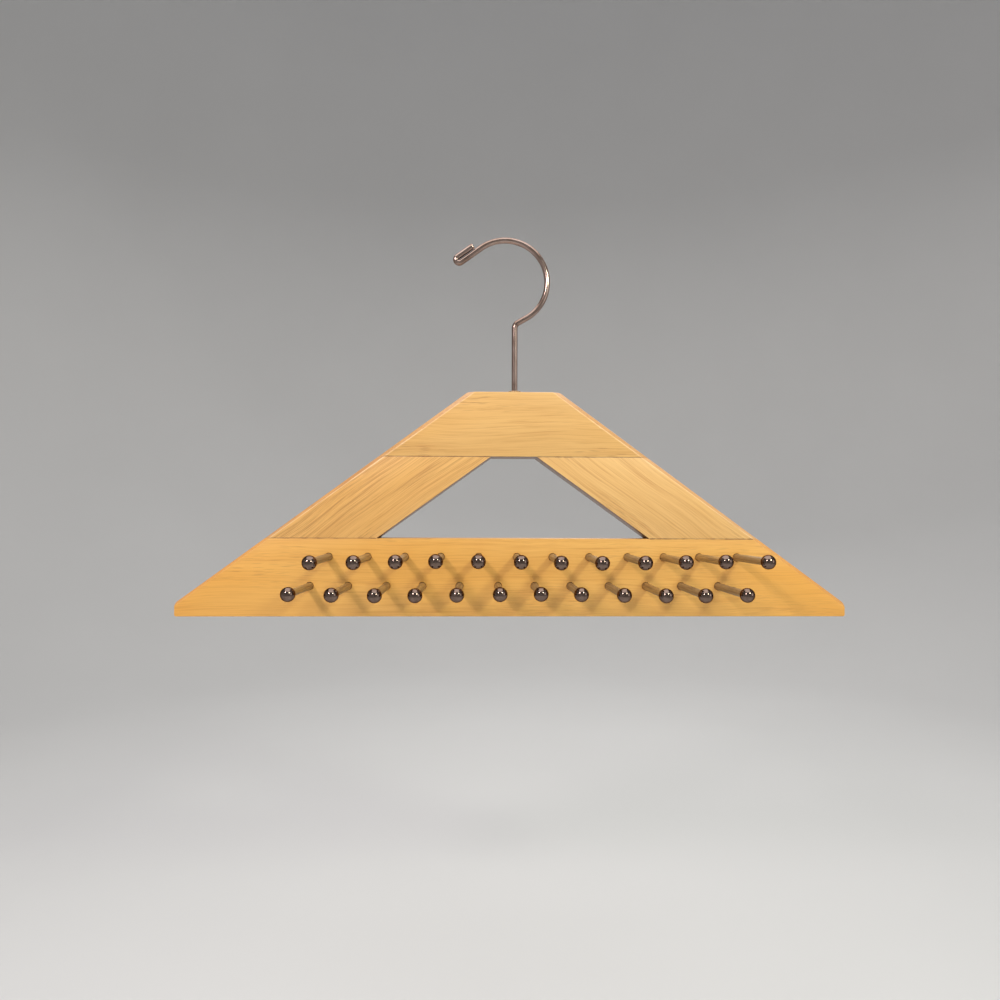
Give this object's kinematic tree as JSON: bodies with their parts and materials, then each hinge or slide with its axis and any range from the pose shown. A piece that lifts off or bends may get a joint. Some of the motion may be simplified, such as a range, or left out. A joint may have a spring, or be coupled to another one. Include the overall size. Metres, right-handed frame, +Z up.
{
  "type": "tie hanger",
  "caption": "Wooden tie hanger: a glued frame with a window, staggered rows of ball-tipped pegs along its front, and a swivelling wire hook.",
  "frame": {"origin": "inside of the hook's top, in the middle of its curve, where it sits on a rail", "axes": "+Z up, +X to the right as seen from the front, and the pegs point to the front, towards -Y"},
  "size_m": [0.43, 0.0742, 0.2482],
  "materials": {
    "hook_plating": "bright plated wire, warm nickel",
    "sleeve_metal": "dull brown brass",
    "frame_wood": "clear satin lacquer",
    "peg_wood": "bare turned dowel, lightly sealed",
    "tip_chrome": "dark chrome, polished"
  },
  "bodies": {
    "hook": {"hook": "hook_plating"},
    "frame": {"hook_sleeve": "sleeve_metal", "top_block": "frame_wood", "left_arm": "frame_wood", "right_arm": "frame_wood", "peg_rail": "frame_wood", "dowels_top_left": "peg_wood", "dowels_top_right": "peg_wood", "dowels_rail_left": "peg_wood", "dowels_rail_right": "peg_wood", "peg_upper_01": "peg_wood", "peg_upper_02": "peg_wood", "peg_upper_03": "peg_wood", "peg_upper_04": "peg_wood", "peg_upper_05": "peg_wood", "peg_upper_06": "peg_wood", "peg_upper_07": "peg_wood", "peg_upper_08": "peg_wood", "peg_upper_09": "peg_wood", "peg_upper_10": "peg_wood", "peg_upper_11": "peg_wood", "peg_upper_12": "peg_wood", "peg_lower_01": "peg_wood", "peg_lower_02": "peg_wood", "peg_lower_03": "peg_wood", "peg_lower_04": "peg_wood", "peg_lower_05": "peg_wood", "peg_lower_06": "peg_wood", "peg_lower_07": "peg_wood", "peg_lower_08": "peg_wood", "peg_lower_09": "peg_wood", "peg_lower_10": "peg_wood", "peg_lower_11": "peg_wood", "peg_lower_12": "peg_wood", "tip_upper_01": "tip_chrome", "tip_upper_02": "tip_chrome", "tip_upper_03": "tip_chrome", "tip_upper_04": "tip_chrome", "tip_upper_05": "tip_chrome", "tip_upper_06": "tip_chrome", "tip_upper_07": "tip_chrome", "tip_upper_08": "tip_chrome", "tip_upper_09": "tip_chrome", "tip_upper_10": "tip_chrome", "tip_upper_11": "tip_chrome", "tip_upper_12": "tip_chrome", "tip_lower_01": "tip_chrome", "tip_lower_02": "tip_chrome", "tip_lower_03": "tip_chrome", "tip_lower_04": "tip_chrome", "tip_lower_05": "tip_chrome", "tip_lower_06": "tip_chrome", "tip_lower_07": "tip_chrome", "tip_lower_08": "tip_chrome", "tip_lower_09": "tip_chrome", "tip_lower_10": "tip_chrome", "tip_lower_11": "tip_chrome", "tip_lower_12": "tip_chrome"}
  },
  "joints": [
    {"name": "hook_swivel", "type": "hinge", "parent": "hook", "child": "frame", "pos_m": [0.0062, 0, -0.1], "axis": [0, 0, 1], "continuous": true}
  ]
}
